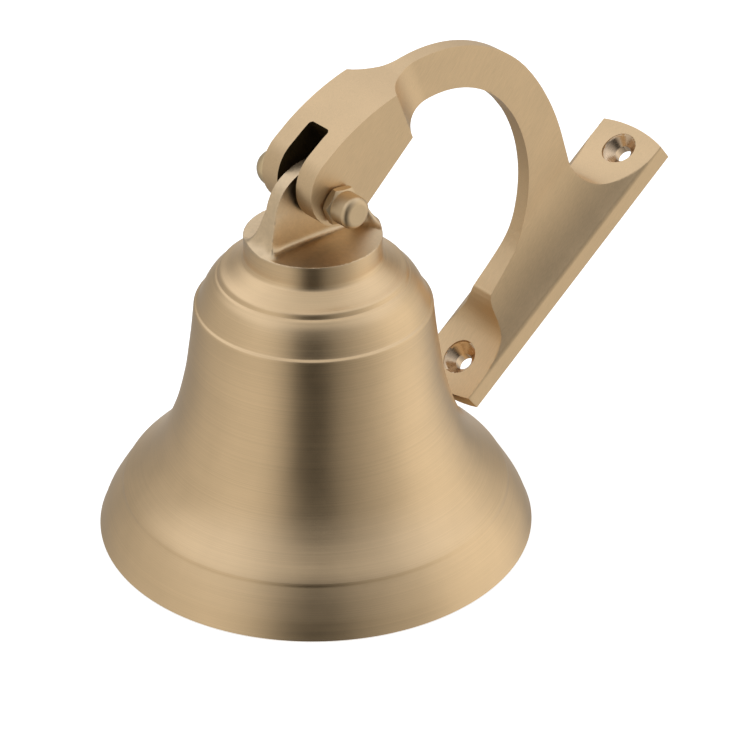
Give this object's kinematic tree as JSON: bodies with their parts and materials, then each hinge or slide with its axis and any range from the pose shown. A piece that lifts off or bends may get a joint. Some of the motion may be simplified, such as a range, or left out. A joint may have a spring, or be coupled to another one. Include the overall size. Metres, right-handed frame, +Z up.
{
  "type": "ship bell",
  "caption": "Brass ship's bell with an arched wall bracket hinged on its crown lug and a ball clapper hung from a link inside.",
  "frame": {"origin": "under the middle of the whole object's box, on the surface that the bell's mouth stands on", "axes": "+Z up along the bell's axis, +X along the pivot bolt towards its cap nut, +Y from the bell towards the wall plate"},
  "size_m": [0.127, 0.1925, 0.1374],
  "materials": {
    "cast": "satin, brushed",
    "machined": "fine turned",
    "wire": "drawn wire"
  },
  "bodies": {
    "bell": {"bell": "cast", "clapper_eye_bolt": "machined", "eye_bolt_nut": "machined"},
    "bracket": {"wall_bracket": "cast", "pivot_bolt": "machined", "cap_nut": "machined"},
    "link": {"clapper_link": "wire"},
    "clapper": {"clapper_rod": "machined", "clapper_ball": "machined", "rod_lock_nut": "machined", "lanyard_eye": "machined"}
  },
  "joints": [
    {"name": "bracket_hinge", "type": "hinge", "parent": "bell", "child": "bracket", "pos_m": [0, -0.0328, 0.108], "axis": [1, 0, 0], "range_deg": [0, 119]},
    {"name": "link_swing", "type": "hinge", "parent": "bell", "child": "link", "pos_m": [0, -0.0328, 0.0635], "axis": [1, 0, 0], "range_deg": [-38, 38]},
    {"name": "clapper_swing", "type": "hinge", "parent": "link", "child": "clapper", "pos_m": [0, -0.0328, 0.05475], "axis": [0, 1, 0], "range_deg": [-15, 15]}
  ]
}
